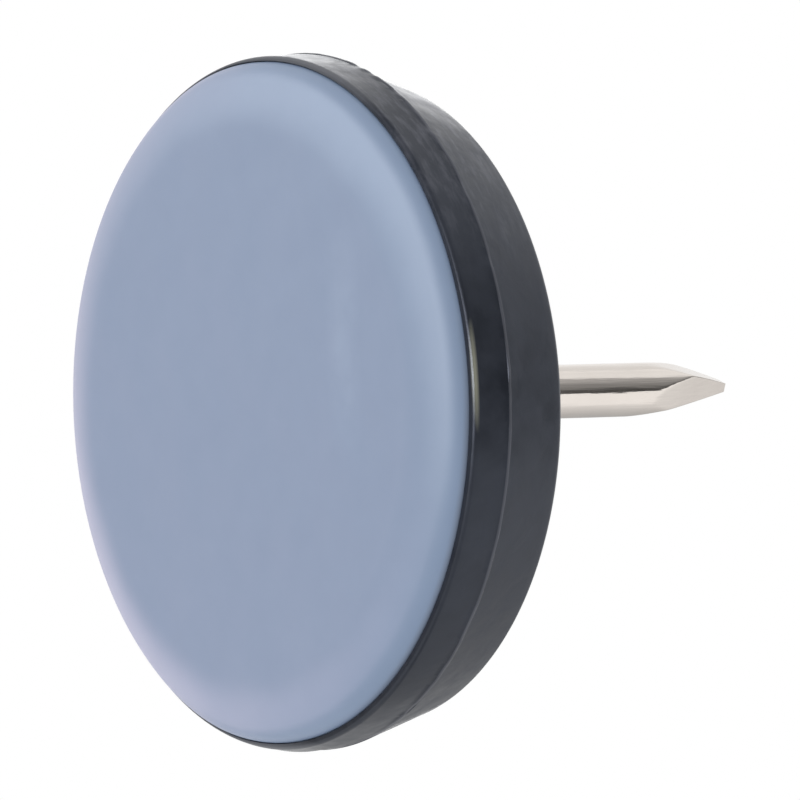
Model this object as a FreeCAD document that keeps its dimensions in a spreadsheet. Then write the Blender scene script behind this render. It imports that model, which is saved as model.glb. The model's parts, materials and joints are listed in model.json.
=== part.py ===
import FreeCAD, Part
import os

import Sketcher

# Nail-on furniture glide of 25 mm: a PTFE sliding pad bonded into a shallow seat in a moulded
# rubber base, and a round wire nail whose head is moulded into that base.
# The glide stands on its sliding face: z = 0 is that face, +Z runs up the nail to its point.

# Driving dimensions in millimetres and degrees: alias, value, meaning
SIZES = [
    ("overall_diameter", 25.0, "base at its parting line, the widest place"),
    ("front_flare", 0.09, "how far the front band widens from the lip to the parting line"),
    ("lip_width", 0.31, "rubber lip round the pad"),
    ("lip_round", 0.15, "rounding of the lip's outer edge"),
    ("front_band_height", 1.63, "lip to parting line"),
    ("parting_step", 0.1, "rear half of the base stands back from the parting line"),
    ("rear_draft_angle", 18.8, "taper of the rear band, to let it out of the mould"),
    ("base_height", 4.6, "lip to seat face"),
    ("seat_edge_round", 0.25, "rounding of the seat face's edge"),
    ("pad_thickness", 1.6, "PTFE disc"),
    ("pad_seat_depth", 0.5, "how deep the disc sits in the base"),
    ("pad_clearance", 0.03, "bond line round the disc"),
    ("pad_bevel_width", 1.25, "bevel round the sliding face, across the face"),
    ("pad_bevel_height", 0.6, "bevel round the sliding face, up the side"),
    ("pad_crown_round", 3.0, "rounding of the face into the bevel"),
    ("pad_edge_round", 1.0, "rounding of the bevel into the side"),
    ("nail_diameter", 2.0, "wire"),
    ("nail_proud", 15.6, "seat face to point"),
    ("nail_head_diameter", 6.0, "flat head inside the base"),
    ("nail_head_thickness", 0.8, "flat head inside the base"),
    ("nail_neck_diameter", 3.0, "cone under the head, which runs out to the wire at the seat face"),
    ("nail_head_cover", 0.55, "rubber between the nail's head and the pad"),
    ("nail_point_length", 3.9, "pinched diamond point"),
    ("nail_tip_width", 0.4, "blunt end of the point, across its flats"),
    ("nail_point_facets", 4, "flats of the diamond point"),
]

# Radii from the axis and heights above the floor, worked out from the driving dimensions
LIP_RADIUS = "sizes.overall_diameter / 2 - sizes.front_flare"
PARTING_RADIUS = "sizes.overall_diameter / 2"
REAR_RADIUS = f"{PARTING_RADIUS} - sizes.parting_step"
PAD_SEAT_RADIUS = f"{LIP_RADIUS} - sizes.lip_width"
PAD_RADIUS = f"{PAD_SEAT_RADIUS} - sizes.pad_clearance"
PAD_FACE_RADIUS = f"{PAD_RADIUS} - sizes.pad_bevel_width"
LIP_Z = "sizes.pad_thickness - sizes.pad_seat_depth"
PAD_SEAT_Z = "sizes.pad_thickness"
PARTING_Z = f"{LIP_Z} + sizes.front_band_height"
SEAT_Z = f"{LIP_Z} + sizes.base_height"
REAR_BAND_HEIGHT = "(sizes.base_height - sizes.front_band_height)"
SEAT_RADIUS = f"{REAR_RADIUS} - {REAR_BAND_HEIGHT} * tan(sizes.rear_draft_angle * 1deg)"
SHANK_RADIUS = "sizes.nail_diameter / 2"
HEAD_RADIUS = "sizes.nail_head_diameter / 2"
NECK_RADIUS = "sizes.nail_neck_diameter / 2"
HEAD_Z = f"{PAD_SEAT_Z} + sizes.nail_head_cover"
HEAD_TOP_Z = f"{HEAD_Z} + sizes.nail_head_thickness"
TIP_Z = f"{SEAT_Z} + sizes.nail_proud"
POINT_Z = f"{TIP_Z} - sizes.nail_point_length"
TIP_RADIUS = "sizes.nail_tip_width / 2"
AXIS = "0"

doc = FreeCAD.newDocument("nail_on_glide")


def add_size_sheet():
    """Writes the driving dimensions, one row each, with an alias on the value."""
    sheet = doc.addObject("Spreadsheet::Sheet", "sizes")
    for row, (alias, value, meaning) in enumerate(SIZES, 1):
        sheet.set(f"A{row}", alias)
        sheet.set(f"B{row}", str(value))
        sheet.set(f"C{row}", meaning)
        sheet.setAlias(f"B{row}", alias)
    doc.recompute()
    return sheet


def origin_feature(body, role):
    """Finds one of the body's own origin planes or axes."""
    return next(item for item in body.Origin.OriginFeatures if item.Role == role)


def half_section(body, name, corners):
    """Draws a closed outline in the XZ plane, with every corner bound to (radius, height)."""
    sketch = body.newObject("Sketcher::SketchObject", name)
    sketch.AttachmentSupport = [(origin_feature(body, "XZ_Plane"), "")]
    sketch.MapMode = "FlatFace"
    points = []
    for radius, height in corners:
        x, y = (float(sheet.evalExpression(text)) for text in (radius, height))
        points.append(FreeCAD.Vector(x, y, 0))
    count = len(points)
    for index in range(count):
        sketch.addGeometry(Part.LineSegment(points[index], points[(index + 1) % count]), False)
    for index in range(count):
        sketch.addConstraint(Sketcher.Constraint("Coincident", index, 2, (index + 1) % count, 1))
    for index, corner in enumerate(corners):
        for kind, text, place in zip(("DistanceX", "DistanceY"), corner, points[index]):
            number = sketch.addConstraint(Sketcher.Constraint(kind, -1, 1, index, 1, place))
            if text != AXIS:
                sketch.setExpression(f"Constraints[{number}]", text)
    doc.recompute()
    return sketch


def turned(body, kind, name, corners):
    """Turns an outline about the Z axis, as added or cut material."""
    sketch = half_section(body, f"{name}_section", corners)
    feature = body.newObject(f"PartDesign::{kind}", name)
    feature.Profile = sketch
    feature.ReferenceAxis = (sketch, ["V_Axis"])
    feature.Angle = 360
    doc.recompute()
    return feature


def circle_at(feature, radius, height):
    """Names the feature's circular edge of this radius and height."""
    wanted = [float(sheet.evalExpression(text)) for text in (radius, height)]
    for number, edge in enumerate(feature.Shape.Edges, 1):
        if isinstance(edge.Curve, Part.Circle):
            found = (edge.Curve.Radius, edge.Curve.Center.z)
            if max(abs(a - b) for a, b in zip(found, wanted)) < Part.Precision.approximation():
                return f"Edge{number}"
    raise RuntimeError(f"{feature.Label} has no edge of radius {radius} at {height}")


def rounded(body, name, base, radius, height, size):
    """Rounds one circular edge of the last feature."""
    fillet = body.newObject("PartDesign::Fillet", name)
    fillet.Base = (base, [circle_at(base, radius, height)])
    fillet.setExpression("Radius", size)
    doc.recompute()
    return fillet


def make_pad():
    """PTFE disc, with a soft bevel round its sliding face so that it rides over a rug's edge."""
    body = doc.addObject("PartDesign::Body", "glide_pad")
    disc = turned(body, "Revolution", "pad_disc", [
        (AXIS, AXIS),
        (PAD_FACE_RADIUS, AXIS),
        (PAD_RADIUS, "sizes.pad_bevel_height"),
        (PAD_RADIUS, PAD_SEAT_Z),
        (AXIS, PAD_SEAT_Z),
    ])
    crown = rounded(body, "pad_crown", disc, PAD_FACE_RADIUS, AXIS, "sizes.pad_crown_round")
    rounded(body, "pad_edge", crown, PAD_RADIUS, "sizes.pad_bevel_height", "sizes.pad_edge_round")
    return body


def nail_section():
    """Outline of the nail before its point is pinched; the base is moulded to the same faces."""
    return [
        (AXIS, HEAD_Z),
        (HEAD_RADIUS, HEAD_Z),
        (HEAD_RADIUS, HEAD_TOP_Z),
        (NECK_RADIUS, HEAD_TOP_Z),
        (SHANK_RADIUS, SEAT_Z),
        (SHANK_RADIUS, TIP_Z),
        (AXIS, TIP_Z),
    ]


def make_base():
    """Rubber base in two mould halves, with the pad's seat in front and the nail's cavity behind."""
    body = doc.addObject("PartDesign::Body", "base")
    blank = turned(body, "Revolution", "base_blank", [
        (AXIS, PAD_SEAT_Z),
        (PAD_SEAT_RADIUS, PAD_SEAT_Z),
        (PAD_SEAT_RADIUS, LIP_Z),
        (LIP_RADIUS, LIP_Z),
        (PARTING_RADIUS, PARTING_Z),
        (REAR_RADIUS, PARTING_Z),
        (SEAT_RADIUS, SEAT_Z),
        (AXIS, SEAT_Z),
    ])
    lip = rounded(body, "lip_edge", blank, LIP_RADIUS, LIP_Z, "sizes.lip_round")
    rounded(body, "seat_edge", lip, SEAT_RADIUS, SEAT_Z, "sizes.seat_edge_round")
    turned(body, "Groove", "nail_cavity", nail_section())
    return body


def make_nail():
    """Wire nail: flat head on a conical neck, round shank and a point pinched to flats."""
    body = doc.addObject("PartDesign::Body", "nail")
    turned(body, "Revolution", "nail_blank", nail_section())
    waste = half_section(body, "facet_section", [
        (SHANK_RADIUS, POINT_Z),
        (TIP_RADIUS, TIP_Z),
        (TIP_RADIUS, f"{TIP_Z} + {SHANK_RADIUS}"),
        ("sizes.nail_diameter", f"{TIP_Z} + {SHANK_RADIUS}"),
        ("sizes.nail_diameter", POINT_Z),
    ])
    facet = body.newObject("PartDesign::Pocket", "point_facet")
    facet.Profile = waste
    facet.Midplane = True
    facet.setExpression("Length", "sizes.nail_diameter * 2")
    doc.recompute()
    point = body.newObject("PartDesign::PolarPattern", "diamond_point")
    point.Originals = [facet]
    point.Axis = (origin_feature(body, "Z_Axis"), [""])
    point.Angle = 360
    point.setExpression("Occurrences", "sizes.nail_point_facets")
    body.Tip = point
    doc.recompute()
    return body


def check_document(pieces):
    """Stops before anything is written if a feature failed or a piece isn't one valid solid."""
    failed = [item.Label for item in doc.Objects if {"Invalid", "Error"} & set(item.State)]
    if failed:
        raise RuntimeError(f"features failed: {failed}")
    for piece in pieces:
        if piece.Shape.isNull() or not piece.Shape.isValid() or len(piece.Shape.Solids) != 1:
            raise RuntimeError(f"{piece.Label} isn't one valid solid")


sheet = add_size_sheet()
pieces = [make_pad(), make_base(), make_nail()]
doc.recompute()
check_document(pieces)
os.makedirs("parts", exist_ok=True)
for piece in pieces:
    piece.Shape.exportStep(f"parts/{piece.Label}.step")
    box = piece.Shape.optimalBoundingBox(False)
    print(f"{piece.Label}: {piece.Shape.Volume:.2f} mm3, z {box.ZMin:.2f} to {box.ZMax:.2f}")
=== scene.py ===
import json
import math

import bmesh
import bpy
from mathutils import Matrix, Vector, noise


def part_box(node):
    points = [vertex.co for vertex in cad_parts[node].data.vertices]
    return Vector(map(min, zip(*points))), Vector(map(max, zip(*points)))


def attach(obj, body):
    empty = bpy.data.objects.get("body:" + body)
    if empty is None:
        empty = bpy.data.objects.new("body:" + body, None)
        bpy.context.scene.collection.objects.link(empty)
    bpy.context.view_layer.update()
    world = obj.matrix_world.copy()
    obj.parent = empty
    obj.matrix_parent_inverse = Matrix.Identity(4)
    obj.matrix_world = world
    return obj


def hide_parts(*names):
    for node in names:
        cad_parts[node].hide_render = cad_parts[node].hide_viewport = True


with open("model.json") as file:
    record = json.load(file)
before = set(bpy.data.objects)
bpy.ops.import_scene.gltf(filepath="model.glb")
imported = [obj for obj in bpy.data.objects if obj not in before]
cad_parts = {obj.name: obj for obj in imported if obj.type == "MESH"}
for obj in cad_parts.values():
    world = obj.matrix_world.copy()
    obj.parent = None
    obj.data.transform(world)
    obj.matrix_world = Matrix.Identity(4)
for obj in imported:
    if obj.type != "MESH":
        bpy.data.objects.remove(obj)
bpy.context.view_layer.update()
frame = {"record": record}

# Nail
# A round wire nail, drawn bright and nickel plated. Its flat head and conical neck are moulded into the
# base, so only the shank and the point show. The cutters that part it from the coil pinch the point to
# four flats.

MM = 0.001
nail_low, nail_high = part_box("nail")
seat_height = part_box("base")[1].z
nail_mount = next(mount for mount in frame["record"]["mounts"] if mount["name"] == "nail")
WIRE_UNDERSIZE = 0.015 * MM
SHANK_RADIUS = nail_mount["dims"]["r_mm"] * MM - WIRE_UNDERSIZE
# The mould held the nail a hair off the middle, so its head is smaller, to stay where the solid's head is
NAIL_CENTRE = Vector((-0.054, -0.12)) * MM
HEAD_INSET = 0.12 * MM
HEAD_RADIUS = nail_high.x - HEAD_INSET
HEAD_THICKNESS = 0.8 * MM
HEAD_TOP = nail_low.z + HEAD_THICKNESS
NECK_RADIUS = 1.5 * MM
POINT_LENGTH = 5 * MM
POINT_RINGS = 80
NAIL_STEPS = 360
# How crisp the ridges between the flats are, and the share of its width that the blunted tip keeps
RIDGE_SHARPNESS = 48
BLUNT_TIP = 0.5
# Each flat of the point: the way it faces, how far back it starts, its half width at the tip, and its bulge
POINT_FLATS = [
    (math.radians(-3), 3.78 * MM, 0.25 * MM, 1.15),
    (math.radians(72), 4.5 * MM, 0.13 * MM, 1.1),
    (math.radians(177), 3.61 * MM, 0.18 * MM, 1.2),
    (math.radians(265), 3.75 * MM, 0.22 * MM, 1.5),
]
SHARP_EDGE = math.radians(35)


def turned_mesh(name, outline, steps):
    """Turns outline(angle), rows of (radius, height, centre) from axis to axis, into a closed mesh."""
    angles = [math.tau * step / steps for step in range(steps)]
    columns = [outline(angle) for angle in angles]
    builder = bmesh.new()
    ends = (columns[0][0], columns[0][-1])
    low, high = (builder.verts.new((*centre, z)) for _, z, centre in ends)
    rings = []
    for angle, column in zip(angles, columns):
        way = Vector((math.cos(angle), math.sin(angle)))
        rings.append([builder.verts.new((*(centre + way * r), z)) for r, z, centre in column[1:-1]])
    for step in range(steps):
        here, after = rings[step], rings[(step + 1) % steps]
        builder.faces.new((low, after[0], here[0]))
        builder.faces.new((high, here[-1], after[-1]))
        for k in range(len(here) - 1):
            builder.faces.new((here[k], after[k], after[k + 1], here[k + 1]))
    bmesh.ops.recalc_face_normals(builder, faces=builder.faces)
    mesh = bpy.data.meshes.new(name)
    builder.to_mesh(mesh)
    builder.free()
    mesh.shade_smooth()
    mesh.set_sharp_from_angle(angle=SHARP_EDGE)
    piece = bpy.data.objects.new(name, mesh)
    bpy.context.scene.collection.objects.link(piece)
    return piece


def point_radius(angle, height):
    """Radius of the nail where the flats cut into the wire; the sum rounds the ridges between them."""
    total = SHANK_RADIUS ** -RIDGE_SHARPNESS
    for facing, length, tip, bulge in POINT_FLATS:
        left = max(1 - (nail_high.z - height) / length, 0)
        reach = SHANK_RADIUS - (SHANK_RADIUS - tip) * left ** bulge
        total += (max(math.cos(angle - facing), 0) / reach) ** RIDGE_SHARPNESS
    return total ** (-1 / RIDGE_SHARPNESS)


def nail_outline(angle):
    """Head, neck, shank and point of the nail, on one side."""
    rows = [
        (0, nail_low.z),
        (HEAD_RADIUS, nail_low.z),
        (HEAD_RADIUS, HEAD_TOP),
        (NECK_RADIUS, HEAD_TOP),
        (SHANK_RADIUS, seat_height),
    ]
    for ring in range(POINT_RINGS + 1):
        height = nail_high.z - POINT_LENGTH * (1 - ring / POINT_RINGS)
        rows.append((point_radius(angle, height), height))
    rows[-1] = (rows[-1][0] * BLUNT_TIP, nail_high.z)
    rows.append((0, nail_high.z))
    return [(r, z, NAIL_CENTRE) for r, z in rows]


def linear(hex_colour):
    """An sRGB hex colour as linear RGBA."""
    channels = [int(hex_colour[i:i + 2], 16) / 255 for i in (1, 3, 5)]
    return [c / 12.92 if c <= 0.04045 else ((c + 0.055) / 1.055) ** 2.4 for c in channels] + [1]


def add_node(tree, kind, inputs, **settings):
    """Adds a shader node with its settings; an input is a plain value or another node's output."""
    node = tree.nodes.new("ShaderNode" + kind)
    for name, value in settings.items():
        setattr(node, name, value)
    for name, value in inputs.items():
        if isinstance(value, bpy.types.NodeSocket):
            tree.links.new(value, node.inputs[name])
        else:
            node.inputs[name].default_value = value
    return node


def new_material(name):
    """A material with an empty node tree, and the tree."""
    material = bpy.data.materials.new(name)
    material.use_nodes = True
    material.node_tree.nodes.clear()
    return material, material.node_tree


def nickel_plated_wire():
    """Bright nickel over drawn wire: a warm mirror, blurred round the wire by fine lines along it."""
    material, tree = new_material("nickel_plated_wire")
    place = add_node(tree, "TexCoord", {}).outputs["Object"]
    # Real drawing lines are hundredths of a millimetre apart; these are drawn coarser, so that they show
    across = 1 / (0.16 * MM)
    along = 1 / (3 * MM)
    stretched = add_node(tree, "Mapping", {
        "Vector": place, "Scale": (across, across, along)}).outputs["Vector"]
    lines = add_node(tree, "TexNoise", {"Vector": stretched, "Scale": 1, "Detail": 3}).outputs["Fac"]
    tarnish = add_node(tree, "TexNoise", {
        "Vector": place, "Scale": 1 / (1.5 * MM), "Detail": 4}).outputs["Fac"]
    colour = add_node(tree, "Mix", {
        0: tarnish, 6: linear("#e2dad3"), 7: linear("#eee7e0")}, data_type="RGBA").outputs[2]
    rough = add_node(tree, "MapRange", {"Value": lines, "To Min": 0.06, "To Max": 0.14}).outputs["Result"]
    relief = add_node(tree, "Bump", {
        "Height": lines, "Strength": 0.6, "Distance": 0.022 * MM}).outputs["Normal"]
    shader = add_node(tree, "BsdfPrincipled", {
        "Base Color": colour, "Metallic": 1, "Roughness": rough, "Normal": relief}).outputs["BSDF"]
    add_node(tree, "OutputMaterial", {"Surface": shader})
    return material


nail = turned_mesh("plated_nail", nail_outline, NAIL_STEPS)
nail.data.materials.append(nickel_plated_wire())
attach(nail, "root")
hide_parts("nail")

# Base
# One black rubber moulding, pressed round the nail's head in a two-part mould. The halves of the mould
# leave a parting line with a thin ragged flash round the rim, and the rear half sits a hair off centre
# behind it.

base_low, base_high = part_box("base")
pad_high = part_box("glide_pad")[1]
PARTING_RADIUS = base_high.x
FRONT_FLARE = 0.095 * MM
LIP_RADIUS = PARTING_RADIUS - FRONT_FLARE
LIP_ROUND = 0.15 * MM
LIP_WIDTH = 0.235 * MM
PAD_SEAT_RADIUS = LIP_RADIUS - LIP_WIDTH
PAD_SEAT_CORNER = 0.02 * MM
BAND_BULGE = 0.04 * MM
BAND_BULGE_RISE = 0.8 * MM
FRONT_BAND_HEIGHT = 1.63 * MM
PARTING_HEIGHT = base_low.z + FRONT_BAND_HEIGHT
PARTING_STEP = 0.1 * MM
REAR_RADIUS = PARTING_RADIUS - PARTING_STEP
REAR_HEIGHT = seat_height - PARTING_HEIGHT
REAR_DRAFT = math.radians(18.1)
REAR_ROWS = (0.008, 0.03, 0.1, 0.4, 0.8)
SEAT_EDGE_ROUND = 0.4 * MM
SEAT_RADIUS = REAR_RADIUS - REAR_HEIGHT * math.tan(REAR_DRAFT)
NAIL_COLLAR = 0.2 * MM
ROUND_STEPS = 8
BASE_STEPS = 720
# The pad's seat sits above the middle of the rim in the photograph's view, and the rear half below it
PAD_CENTRE = Vector((-0.03, -0.02)) * MM
LIP_CENTRE = Vector((0.06, -0.028)) * MM
BAND_CENTRE = Vector((0.017, 0.038)) * MM
PARTING_CENTRE = Vector((-0.006, -0.013)) * MM
REAR_CENTRE = Vector((0.025, 0.055)) * MM
SEAT_CENTRE = Vector((0.045, 0.08)) * MM
# The seat isn't quite round: where about the rim it swells into the lip, over what angle, and by how much
SEAT_SWELLS = [
    (math.radians(-130), math.radians(14), 0.07 * MM),
    (math.radians(83), math.radians(16), 0.09 * MM),
]
# The share of a swell that the lip draws in by, and the share of its width that its rounding takes at most
LIP_YIELD = 0.6
LIP_ROUND_LIMIT = 0.6
FLASH_HEIGHT = 0.06 * MM
FLASH_WIDTH = 0.11 * MM
# How ragged the flash is: the length of its waves, and its mean, swing and least share of the full height
FLASH_WAVE = 1.4 * MM
FLASH_MEAN = 0.62
FLASH_SWING = 0.45
FLASH_LEAST = 0.15
# Nicks in the flash: where about the rim, how wide along it, and how deep
FLASH_NICKS = [
    (math.radians(-97), 0.5 * MM, 0.05 * MM),
    (math.radians(-93), 0.3 * MM, 0.06 * MM),
    (math.radians(-85.5), 0.6 * MM, 0.05 * MM),
    (math.radians(-74.5), 0.4 * MM, 0.06 * MM),
    (math.radians(-61), 0.7 * MM, 0.05 * MM),
    (math.radians(-47.5), 0.4 * MM, 0.06 * MM),
    (math.radians(36.7), 0.5 * MM, 0.06 * MM),
    (math.radians(65), 11 * MM, 0.05 * MM),
    (math.radians(120), 0.6 * MM, 0.05 * MM),
    (math.radians(205), 0.5 * MM, 0.06 * MM),
]
# The side where the rubber is scuffed, from where to where, as shares of the rim's radius
SCUFFED_SIDE = (-0.42, -0.91, 0)
SCUFFED_SPAN = (0.35, 0.85)
# Light painted on the lip, a painted glint and two ends painted paler as a painted sheen: the side, and
# where each starts and is full
LIP_PAINTED_LIGHTS = [
    ((0.877, -0.48, 0), 0.984, 0.997),
    ((-0.39, -0.92, 0), 0.82, 0.95),
    ((0.292, 0.956, 0), 0.93, 0.975),
]
CREST_DROP = 0.05 * MM


def arc(centre, radius, start, end, steps):
    """Points of a round edge about centre, in the outline's plane, between two angles in degrees."""
    angles = [math.radians(start + (end - start) * k / steps) for k in range(steps + 1)]
    return [(centre[0] + radius * math.cos(a), centre[1] + radius * math.sin(a)) for a in angles]


def flash_height(angle):
    """Height of the flash above the front band, ragged along the rim, with the nicks taken out."""
    way = Vector((math.cos(angle), math.sin(angle), 0)) * PARTING_RADIUS
    ragged = noise.fractal(way / FLASH_WAVE, 1, 2, 3)
    height = FLASH_HEIGHT * min(max(FLASH_MEAN + FLASH_SWING * ragged, FLASH_LEAST), 1)
    for place, width, depth in FLASH_NICKS:
        along = math.remainder(angle - place, math.tau) * PARTING_RADIUS
        height -= depth * math.exp(-(2 * along / width) ** 2)
    return max(height, 0)


def seat_swell(angle):
    """How far the seat, and the pad in it, swell into the lip."""
    return sum(size * math.exp(-(math.remainder(angle - place, math.tau) / spread) ** 2)
               for place, spread, size in SEAT_SWELLS)


def base_outline(angle):
    """Pad's seat, lip, front band, flash, rear band, seat face and the nail's cavity, on one side."""
    seat = PAD_SEAT_RADIUS + seat_swell(angle)
    lip = LIP_RADIUS - LIP_YIELD * seat_swell(angle)
    lip_width = lip - seat + (LIP_CENTRE - PAD_CENTRE).dot((math.cos(angle), math.sin(angle)))
    lip_round = min(LIP_ROUND, LIP_ROUND_LIMIT * lip_width)
    lip_centre = (lip - lip_round, base_low.z + lip_round)
    edge_rise = SEAT_EDGE_ROUND * math.tan(math.radians(45) - REAR_DRAFT / 2)
    seat_centre = (SEAT_RADIUS - edge_rise, seat_height - SEAT_EDGE_ROUND)
    seat_edge = arc(seat_centre, SEAT_EDGE_ROUND, math.degrees(REAR_DRAFT), 90, ROUND_STEPS)
    band_end = PARTING_RADIUS - FLASH_HEIGHT
    flash = flash_height(angle)
    rows = [(r, z, PAD_CENTRE) for r, z in (
        (0, pad_high.z),
        (seat, pad_high.z),
        (seat, base_low.z + PAD_SEAT_CORNER),
        (seat + PAD_SEAT_CORNER, base_low.z))]
    rows += [(r, z, LIP_CENTRE) for r, z in arc(lip_centre, lip_round, -90, 0, ROUND_STEPS)]
    rows += [
        (lip, base_low.z + 2 * LIP_ROUND, LIP_CENTRE),
        (LIP_RADIUS + BAND_BULGE, base_low.z + BAND_BULGE_RISE, BAND_CENTRE),
        (band_end, PARTING_HEIGHT - 3 * FLASH_WIDTH, PARTING_CENTRE),
        (band_end, PARTING_HEIGHT - FLASH_WIDTH, PARTING_CENTRE),
        (band_end + flash * 0.7, PARTING_HEIGHT - FLASH_WIDTH * 0.7, PARTING_CENTRE),
        (band_end + flash, PARTING_HEIGHT - FLASH_WIDTH * 0.4, PARTING_CENTRE),
        (band_end + flash * 0.9, PARTING_HEIGHT - FLASH_WIDTH * 0.1, PARTING_CENTRE),
    ]
    for share in REAR_ROWS:
        rise = share * REAR_HEIGHT
        centre = REAR_CENTRE.lerp(SEAT_CENTRE, share)
        rows.append((REAR_RADIUS - rise * math.tan(REAR_DRAFT), PARTING_HEIGHT + rise, centre))
    rows += [(r, z, SEAT_CENTRE) for r, z in seat_edge]
    rows += [(r, z, NAIL_CENTRE) for r, z in (
        (SHANK_RADIUS + NAIL_COLLAR, seat_height),
        (SHANK_RADIUS + 0.25 * NAIL_COLLAR, seat_height - 0.3 * NAIL_COLLAR),
        (SHANK_RADIUS, seat_height - NAIL_COLLAR),
        (NECK_RADIUS, HEAD_TOP),
        (HEAD_RADIUS, HEAD_TOP),
        (HEAD_RADIUS, nail_low.z),
        (0, nail_low.z))]
    return rows


def moulded_rubber():
    """Black moulded rubber: dark, semi-matte, with a fine grain and a grey bloom where it was handled."""
    material, tree = new_material("moulded_rubber")
    place = add_node(tree, "TexCoord", {}).outputs["Object"]
    grain = add_node(tree, "TexNoise", {
        "Vector": place, "Scale": 1 / (0.12 * MM), "Detail": 4}).outputs["Fac"]
    swirl = add_node(tree, "TexNoise", {
        "Vector": place, "Scale": 1 / (1.4 * MM), "Detail": 2, "Distortion": 0.4}).outputs["Fac"]
    bloom = add_node(tree, "TexNoise", {
        "Vector": place, "Scale": 1 / (1.0 * MM), "Detail": 6, "Roughness": 0.6}).outputs["Fac"]
    spread = add_node(tree, "MapRange", {
        "Value": bloom, "From Min": 0.35, "From Max": 0.68}).outputs["Result"]
    dark = add_node(tree, "Mix", {
        0: spread, 6: linear("#15181e"), 7: linear("#1d2027")}, data_type="RGBA").outputs[2]
    # Scuffs run round the rim, on the side that was handled most
    around = 1 / (0.95 * MM)
    drawn_out = add_node(tree, "Mapping", {
        "Vector": place, "Scale": (around, around, 1 / (0.24 * MM))}).outputs["Vector"]
    scratch = add_node(tree, "TexNoise", {
        "Vector": drawn_out, "Scale": 1, "Detail": 5, "Roughness": 0.6, "Distortion": 0.2}).outputs["Fac"]
    handled = add_node(tree, "VectorMath", {
        0: place, 1: SCUFFED_SIDE}, operation="DOT_PRODUCT").outputs["Value"]
    handled = add_node(tree, "MapRange", {
        "Value": handled,
        "From Min": SCUFFED_SPAN[0] * PARTING_RADIUS,
        "From Max": SCUFFED_SPAN[1] * PARTING_RADIUS}).outputs["Result"]
    scuff = add_node(tree, "MapRange", {
        "Value": scratch, "From Min": 0.47, "From Max": 0.72}).outputs["Result"]
    scuff = add_node(tree, "Math", {0: scuff, 1: handled}, operation="MULTIPLY").outputs["Value"]
    colour = add_node(tree, "Mix", {
        0: scuff, 6: dark, 7: linear("#45464d")}, data_type="RGBA").outputs[2]
    matt = add_node(tree, "MapRange", {"Value": spread, "To Min": 0.3, "To Max": 0.42}).outputs["Result"]
    # Painted sheen: the lip is painted paler at its two ends, where it turns edge-on to the camera
    height = add_node(tree, "SeparateXYZ", {"Vector": place}).outputs["Z"]
    low = add_node(tree, "MapRange", {
        "Value": height,
        "From Min": base_low.z + 0.25 * MM,
        "From Max": base_low.z + 0.1 * MM}).outputs["Result"]
    marks = []
    for side, start, full in LIP_PAINTED_LIGHTS:
        out = add_node(tree, "VectorMath", {0: place, 1: side}, operation="DOT_PRODUCT").outputs["Value"]
        marks.append(add_node(tree, "MapRange", {
            "Value": out,
            "From Min": start * PARTING_RADIUS,
            "From Max": full * PARTING_RADIUS}).outputs["Result"])
    glint_side, top, bottom = marks
    ends = add_node(tree, "Math", {0: top, 1: bottom}, operation="MAXIMUM").outputs["Value"]
    painted_end_sheen = add_node(tree, "Math", {0: low, 1: ends}, operation="MULTIPLY").outputs["Value"]
    colour = add_node(tree, "Mix", {
        0: painted_end_sheen, 6: colour, 7: linear("#5c5d60")}, data_type="RGBA").outputs[2]
    # Painted highlight: the crest of the flash is painted paler, as the light it catches
    crest = add_node(tree, "Math", {
        0: height, 1: PARTING_HEIGHT - CREST_DROP}, operation="SUBTRACT").outputs["Value"]
    crest = add_node(tree, "Math", {0: crest}, operation="ABSOLUTE").outputs["Value"]
    painted_crest_highlight = add_node(tree, "MapRange", {
        "Value": crest, "From Min": 0.07 * MM, "From Max": 0.03 * MM}).outputs["Result"]
    colour = add_node(tree, "Mix", {
        0: painted_crest_highlight, 6: colour, 7: linear("#46474c")}, data_type="RGBA").outputs[2]
    # Painted highlight: a pale glint painted on the lip, where the rubber is also made glossy
    painted_glint_and_gloss = add_node(tree, "Math", {0: low, 1: glint_side}, operation="MULTIPLY").outputs["Value"]
    colour = add_node(tree, "Mix", {
        0: painted_glint_and_gloss, 6: colour, 7: linear("#808072")}, data_type="RGBA").outputs[2]
    rough = add_node(tree, "Mix", {0: painted_glint_and_gloss, 2: matt, 3: 0.16}).outputs[0]
    waves = add_node(tree, "Bump", {
        "Height": swirl, "Strength": 0.5, "Distance": 0.05 * MM}).outputs["Normal"]
    relief = add_node(tree, "Bump", {
        "Height": grain, "Strength": 0.2, "Distance": 0.01 * MM, "Normal": waves}).outputs["Normal"]
    shader = add_node(tree, "BsdfPrincipled", {
        "Base Color": colour, "Roughness": rough, "IOR": 1.5, "Specular Tint": linear("#dfe8ff"),
        "Normal": relief}).outputs["BSDF"]
    add_node(tree, "OutputMaterial", {"Surface": shader})
    return material


base = turned_mesh("rubber_base", base_outline, BASE_STEPS)
base.data.materials.append(moulded_rubber())
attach(base, "root")
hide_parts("base")

# Sliding pad
# A disc of blue-grey PTFE, the face that slides on the floor. It is moulded with a soft bevel round its
# face and bonded into the shallow seat in the base, with the rubber's lip round its edge.

PAD_CLEARANCE = 0.01 * MM
PAD_RADIUS = PAD_SEAT_RADIUS - PAD_CLEARANCE
BEVEL_WIDTH = 1.5 * MM
BEVEL_HEIGHT = 0.69 * MM
CROWN_ROUND = 4.4 * MM
CROWN_STEPS = 10
EDGE_ROUND = 1 * MM
EDGE_STEPS = 14
# A rub mark on the face: two ways across it, and along each where its middle lies and half its reach
RUB_MARK = [
    ((0.906, -0.423, 0), 6.2 * MM, 1.1 * MM),
    ((-0.42, -0.91, 0), 2.1 * MM, 4.5 * MM),
]
# The side where shade is painted on the edge next to the lip, from where to where, as shares of the pad's
# radius
SHADED_EDGE_SIDE = (0.996, 0.087, 0)
SHADED_EDGE_SPAN = (0.72, 0.9)


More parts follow.
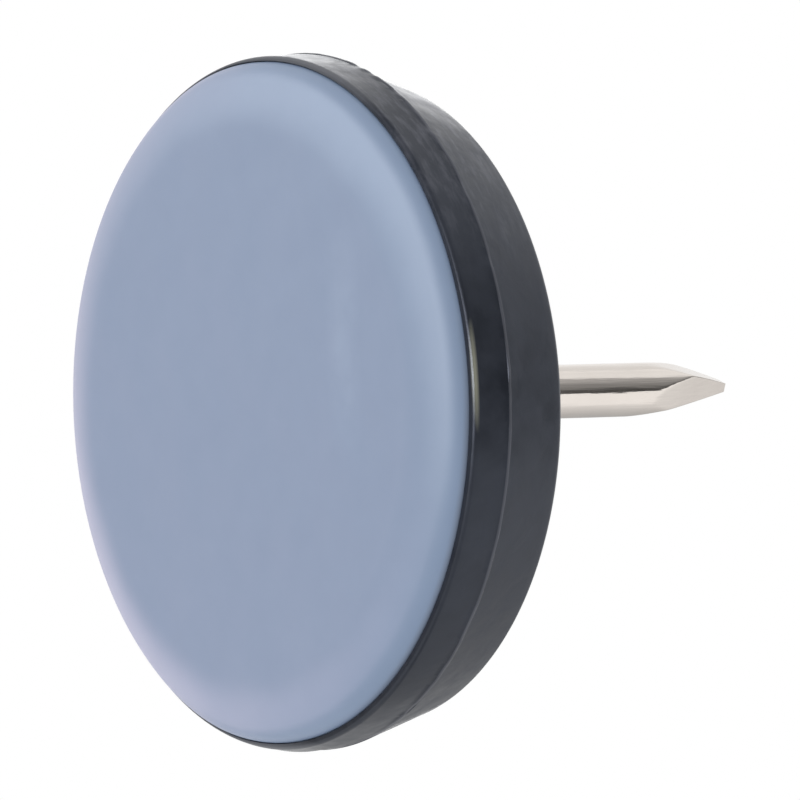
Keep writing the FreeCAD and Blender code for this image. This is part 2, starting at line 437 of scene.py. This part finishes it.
def pad_outline(angle):
    """Flat face, rounded bevel, edge and hidden back of the pad, on one side."""
    radius = PAD_RADIUS + seat_swell(angle)
    slope = math.atan2(BEVEL_HEIGHT, BEVEL_WIDTH)
    crown_centre = (radius - BEVEL_WIDTH - CROWN_ROUND * math.tan(slope / 2), CROWN_ROUND)
    edge_rise = EDGE_ROUND * math.tan((math.radians(90) - slope) / 2)
    edge_centre = (radius - EDGE_ROUND, BEVEL_HEIGHT + edge_rise)
    turn = math.degrees(slope)
    rows = [(0, 0)]
    rows += arc(crown_centre, CROWN_ROUND, -90, turn - 90, CROWN_STEPS)
    rows += arc(edge_centre, EDGE_ROUND, turn - 90, 0, EDGE_STEPS)
    rows += [(radius, pad_high.z), (0, pad_high.z)]
    return [(r, z, PAD_CENTRE) for r, z in rows]


def moulded_ptfe():
    """PTFE: a waxy blue-grey, soft to the eye, with a faint cloudiness and a weak sheen at its edge."""
    material, tree = new_material("moulded_ptfe")
    place = add_node(tree, "TexCoord", {}).outputs["Object"]
    cloud = add_node(tree, "TexNoise", {
        "Vector": place, "Scale": 1 / (1.2 * MM), "Detail": 4}).outputs["Fac"]
    grain = add_node(tree, "TexNoise", {
        "Vector": place, "Scale": 1 / (0.1 * MM), "Detail": 3}).outputs["Fac"]
    colour = add_node(tree, "Mix", {
        0: cloud, 6: linear("#7b8da8"), 7: linear("#7f91ac")}, data_type="RGBA").outputs[2]
    # Sliding has rubbed a faint pale mark into the face
    marks = []
    for way, middle, half in RUB_MARK:
        along = add_node(tree, "VectorMath", {0: place, 1: way}, operation="DOT_PRODUCT").outputs["Value"]
        along = add_node(tree, "Math", {0: along, 1: middle}, operation="SUBTRACT").outputs["Value"]
        along = add_node(tree, "Math", {0: along}, operation="ABSOLUTE").outputs["Value"]
        marks.append(add_node(tree, "MapRange", {
            "Value": along, "From Min": half, "From Max": 0.3 * half}).outputs["Result"])
    rub = add_node(tree, "Math", {0: marks[0], 1: marks[1]}, operation="MULTIPLY").outputs["Value"]
    rub = add_node(tree, "Math", {0: rub, 1: cloud}, operation="MULTIPLY").outputs["Value"]
    colour = add_node(tree, "Mix", {
        0: rub, 6: colour, 7: linear("#8799b3")}, data_type="RGBA").outputs[2]
    # Painted shade: the edge next to the lip is darkened on one side, as the shade in the crevice by the
    # lip
    height = add_node(tree, "SeparateXYZ", {"Vector": place}).outputs["Z"]
    painted_edge_shade = add_node(tree, "MapRange", {
        "Value": height,
        "From Min": base_low.z - 0.2 * MM,
        "From Max": base_low.z,
        "To Max": 0.4}).outputs["Result"]
    aside = add_node(tree, "VectorMath", {
        0: place, 1: SHADED_EDGE_SIDE}, operation="DOT_PRODUCT").outputs["Value"]
    aside = add_node(tree, "MapRange", {
        "Value": aside,
        "From Min": SHADED_EDGE_SPAN[0] * PAD_RADIUS,
        "From Max": SHADED_EDGE_SPAN[1] * PAD_RADIUS}).outputs["Result"]
    painted_edge_shade = add_node(tree, "Math", {0: painted_edge_shade, 1: aside}, operation="MULTIPLY").outputs["Value"]
    colour = add_node(tree, "Mix", {
        0: painted_edge_shade, 6: colour, 7: linear("#63636a")}, data_type="RGBA").outputs[2]
    wave = add_node(tree, "TexNoise", {"Vector": place, "Scale": 1 / (4 * MM), "Detail": 1}).outputs["Fac"]
    waves = add_node(tree, "Bump", {
        "Height": wave, "Strength": 0.4, "Distance": 0.25 * MM}).outputs["Normal"]
    relief = add_node(tree, "Bump", {
        "Height": grain, "Strength": 0.1, "Distance": 0.005 * MM, "Normal": waves}).outputs["Normal"]
    shader = add_node(tree, "BsdfPrincipled", {
        "Base Color": colour, "Roughness": 0.44, "IOR": 1.45, "Normal": relief}).outputs["BSDF"]
    add_node(tree, "OutputMaterial", {"Surface": shader})
    return material


pad = turned_mesh("ptfe_pad", pad_outline, BASE_STEPS)
pad.data.materials.append(moulded_ptfe())
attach(pad, "root")
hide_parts("glide_pad")

# Camera
# The photograph looks up at the sliding face from below and from one side, through a long lens, with the
# nail running off to the right.

VIEW_ANGLE = math.radians(54.6)
VIEW_TURN = math.radians(-25)
VIEW_ROLL = math.radians(1.57)
VIEW_DISTANCE = 400 * MM
VIEW_LENS = 504.2
SENSOR_WIDTH = 36
NEAREST_SEEN = 10 * MM
# Where the middle of the pad's root lies from the middle of the picture
PAD_ROOT_RIGHT = -4.645 * MM
PAD_ROOT_UP = -0.116 * MM

back = Vector((math.sin(VIEW_ANGLE), 0, -math.cos(VIEW_ANGLE)))
level_right = Vector((math.cos(VIEW_ANGLE), 0, math.sin(VIEW_ANGLE)))
level_up = back.cross(level_right)
right = level_right * math.cos(VIEW_ROLL) - level_up * math.sin(VIEW_ROLL)
up = back.cross(right)
turn_about_nail = Matrix.Rotation(VIEW_TURN, 3, "Z")
right, up, back = (turn_about_nail @ axis for axis in (right, up, back))
camera = bpy.data.objects.new("camera", bpy.data.cameras.new("camera"))
camera.data.lens = VIEW_LENS
camera.data.sensor_width = SENSOR_WIDTH
camera.data.clip_start = NEAREST_SEEN
pad_root = Vector((0, 0, base_low.z))
camera_place = pad_root - right * PAD_ROOT_RIGHT - up * PAD_ROOT_UP + back * VIEW_DISTANCE
camera_turn = Matrix((right, up, back)).transposed().to_4x4()
camera.matrix_world = Matrix.Translation(camera_place) @ camera_turn
bpy.context.scene.collection.objects.link(camera)
bpy.context.scene.camera = camera

# Studio
# A white tent all round, a soft lamp above, and a pale floor that is clear from below, because the
# photograph looks up at the face that the glide stands on. The dark room behind the camera shows in what
# shines.

world = bpy.data.worlds.new("white_tent")
world.use_nodes = True
world.node_tree.nodes["Background"].inputs["Color"].default_value = (1, 1, 1, 1)
world.node_tree.nodes["Background"].inputs["Strength"].default_value = 1
bpy.context.scene.world = world

FLOOR_RADIUS = 1.2
FLOOR_SIDES = 96
FLOOR_DROP = 0.02 * MM
# The floor fades into the white tent between these distances from the glide
FLOOR_FADE = (30 * MM, 80 * MM)
floor_mesh = bpy.data.meshes.new("floor")
builder = bmesh.new()
bmesh.ops.create_circle(builder, cap_ends=True, segments=FLOOR_SIDES, radius=FLOOR_RADIUS)
bmesh.ops.translate(builder, verts=builder.verts, vec=(0, 0, -FLOOR_DROP))
builder.to_mesh(floor_mesh)
builder.free()
floor = bpy.data.objects.new("floor", floor_mesh)
bpy.context.scene.collection.objects.link(floor)
floor.visible_diffuse = False
floor.visible_glossy = False
floor.visible_transmission = False
floor.visible_shadow = False
floor_paint, floor_tree = new_material("pale_floor")
under = add_node(floor_tree, "NewGeometry", {}).outputs["Backfacing"]
spot = add_node(floor_tree, "TexCoord", {}).outputs["Object"]
far = add_node(floor_tree, "VectorMath", {0: spot}, operation="LENGTH").outputs["Value"]
far = add_node(floor_tree, "MapRange", {
    "Value": far, "From Min": FLOOR_FADE[0], "From Max": FLOOR_FADE[1]}).outputs["Result"]
gone = add_node(floor_tree, "Math", {0: under, 1: far}, operation="MAXIMUM").outputs["Value"]
paint = add_node(floor_tree, "BsdfDiffuse", {"Color": linear("#f4f4f4")}).outputs["BSDF"]
clear = add_node(floor_tree, "BsdfTransparent", {}).outputs["BSDF"]
sided = add_node(floor_tree, "MixShader", {0: gone, 1: paint, 2: clear}).outputs["Shader"]
add_node(floor_tree, "OutputMaterial", {"Surface": sided})
floor_mesh.materials.append(floor_paint)

LAMP_DISTANCE = 0.25
# Watts for each square metre of a lamp of level 1, so that a level is as bright at any size
LAMP_POWER = 4


def soft_lamp(name, way, width, height, energy):
    """A rectangular lamp that stands off in one direction and points at the glide."""
    lamp = bpy.data.objects.new(name, bpy.data.lights.new(name, "AREA"))
    lamp.data.shape = "RECTANGLE"
    lamp.data.size = width
    lamp.data.size_y = height
    lamp.data.energy = energy
    ahead = way.normalized()
    across = up.cross(ahead).normalized()
    turned = Matrix((across, ahead.cross(across), ahead)).transposed().to_4x4()
    lamp.matrix_world = Matrix.Translation(ahead * LAMP_DISTANCE) @ turned
    bpy.context.scene.collection.objects.link(lamp)
    return lamp


def seen_only_in(lamp, piece):
    """Keeps a lamp's reflection to one piece, as a card held in the beam does."""
    lamp.light_linking.receiver_collection = bpy.data.collections.new(lamp.name)
    lamp.light_linking.receiver_collection.objects.link(piece)


def way_to(turn, rise):
    """The way to a place round the glide: degrees right from the camera, and rise up the picture."""
    turn = math.radians(turn)
    return (back * math.cos(turn) + right * math.sin(turn)) * math.sqrt(1 - rise ** 2) + up * rise


lamp_above = soft_lamp("lamp_above", Vector((0.01, 0, 1)), width=0.3, height=0.3, energy=1.5)
lamp_above.visible_glossy = False
# Lamps that show only as a sheen, each on one piece: turn, rise, width, height, level and tint
for name, piece, turn, rise, width, height, level, tint in (
        ("rim_light", base, 179, 0.2, 0.1, 0.2, 1.7, "#ffffff"),
        ("low_light", base, 172, -0.6, 0.1, 0.1, 0.3, "#ffffff"),
        ("window", base, -38, 0.085, 0.26, 0.07, 7, "#ffffff"),
        ("softbox_over", pad, -54, 0.485, 0.244, 0.2, 3.3, "#ffffff"),
        ("softbox_left", pad, -102, 0.5, 0.12, 0.2, 3, "#ffffff"),
        ("softbox_side", pad, -38, -0.06, 0.25, 0.13, 3.2, "#ffffff"),
        ("softbox_under", pad, -100, -0.47, 0.28, 0.12, 1.9, "#ffe2e8"),
        ("softbox_low", pad, -138, -0.2, 0.1, 0.1, 1.1, "#ffe2e8"),
        ("softbox_behind", pad, -145, 0.05, 0.22, 0.26, 0.7, "#ffd7e1")):
    lamp = soft_lamp(name, way_to(turn, rise), width, height, level * LAMP_POWER * width * height)
    lamp.data.color = linear(tint)[:3]
    lamp.visible_diffuse = False
    seen_only_in(lamp, piece)

PANEL_DISTANCE = 0.35
PANEL_MIDDLE = Vector((0, 0, 8 * MM))
PANEL_SIDES = 40


def panel(name, turns, rises, turn_levels, rise_levels, axes=(back, right, up)):
    """Part of a sphere round the glide, seen only in reflections; its grey follows its turn and rise."""
    front, side, top = axes
    corners, faces = [], []
    for row in range(PANEL_SIDES + 1):
        rise = rises[0] + (rises[1] - rises[0]) * row / PANEL_SIDES
        for column in range(PANEL_SIDES + 1):
            turn = math.radians(turns[0] + (turns[1] - turns[0]) * column / PANEL_SIDES)
            level = (front * math.cos(turn) + side * math.sin(turn)) * math.sqrt(1 - rise ** 2)
            corners.append((level + top * rise) * PANEL_DISTANCE)
    for row in range(PANEL_SIDES):
        for column in range(PANEL_SIDES):
            k = row * (PANEL_SIDES + 1) + column
            faces.append((k, k + 1, k + PANEL_SIDES + 2, k + PANEL_SIDES + 1))
    mesh = bpy.data.meshes.new(name)
    mesh.from_pydata(corners, [], faces)
    paint, tree = new_material(name)
    spot = add_node(tree, "TexCoord", {}).outputs["Object"]
    leftward, forward, high = (
        add_node(tree, "VectorMath", {0: spot, 1: axis}, operation="DOT_PRODUCT").outputs["Value"]
        for axis in (-side, front, top))
    left_turn = add_node(tree, "Math", {0: leftward, 1: forward}, operation="ARCTAN2").outputs["Value"]
    darkness = []
    for value, ends, levels in (
            (left_turn, [-math.radians(turn) for turn in turns], turn_levels),
            (high, [rise * PANEL_DISTANCE for rise in rises], rise_levels)):
        share = add_node(tree, "MapRange", {
            "Value": value, "From Min": ends[0], "From Max": ends[1]}).outputs["Result"]
        ramp = add_node(tree, "ValToRGB", {"Fac": share})
        stops = ramp.color_ramp.elements
        for place, level in levels:
            stop = stops[0] if place == 0 else stops[-1] if place == 1 else stops.new(place)
            stop.color = (1 - level, 1 - level, 1 - level, 1)
        darkness.append(ramp.outputs["Color"])
    both = add_node(tree, "VectorMath", {
        0: darkness[0], 1: darkness[1]}, operation="MULTIPLY").outputs["Vector"]
    grey = add_node(tree, "VectorMath", {0: (1, 1, 1), 1: both}, operation="SUBTRACT").outputs["Vector"]
    glow = add_node(tree, "Emission", {"Color": grey}).outputs["Emission"]
    add_node(tree, "OutputMaterial", {"Surface": glow})
    mesh.materials.append(paint)
    shown = bpy.data.objects.new(name, mesh)
    bpy.context.scene.collection.objects.link(shown)
    shown.location = PANEL_MIDDLE
    shown.visible_camera = False
    shown.visible_diffuse = False
    shown.visible_shadow = False


panel("dark_room", (-60, 140), (-0.17, 0.98),
      [(0, 0), (0.66, 0), (0.84, 0.38), (0.92, 0.63), (1, 0.9)],
      [(0, 0.08), (0.14, 0.05), (0.22, 0.1), (0.34, 0.21), (0.5, 0.25), (0.68, 0.37),
       (0.75, 0.9), (0.8, 0.9), (0.88, 0.7), (1, 0.7)])
panel("dark_floor", (-118, -60), (-0.24, 0.17),
      [(0, 0.6), (0.1, 0.1), (1, 0.1)],
      [(0, 1), (0.2, 0), (0.8, 0), (1, 1)])
panel("table_shade", (90, 185), (-0.98, -0.2),
      [(0, 1), (0.07, 0.85), (0.2, 0.75), (0.4, 0.66), (0.65, 0.56), (0.8, 0.5), (1, 0.4)],
      [(0, 0), (1, 0)])
panel("ceiling_shade", (140, 181), (-0.1, 0.98),
      [(0, 0.8), (0.7, 0.87), (0.8, 0.96), (1, 0.96)],
      [(0, 0), (1, 0)])
# Two dark cards, square to the room, give the nail its dark edge when it is seen from above
room = (Vector((1, 0, 0)), Vector((0, 1, 0)), Vector((0, 0, 1)))
for name, turn in (("dark_card_back", 60), ("dark_card_front", -120)):
    panel(name, (turn - 16, turn + 16), (-0.6, -0.02),
          [(0, 1), (0.35, 0.2), (0.65, 0.2), (1, 1)],
          [(0, 1), (0.1, 0), (1, 0)], axes=room)
bpy.context.scene.view_settings.view_transform = "Standard"
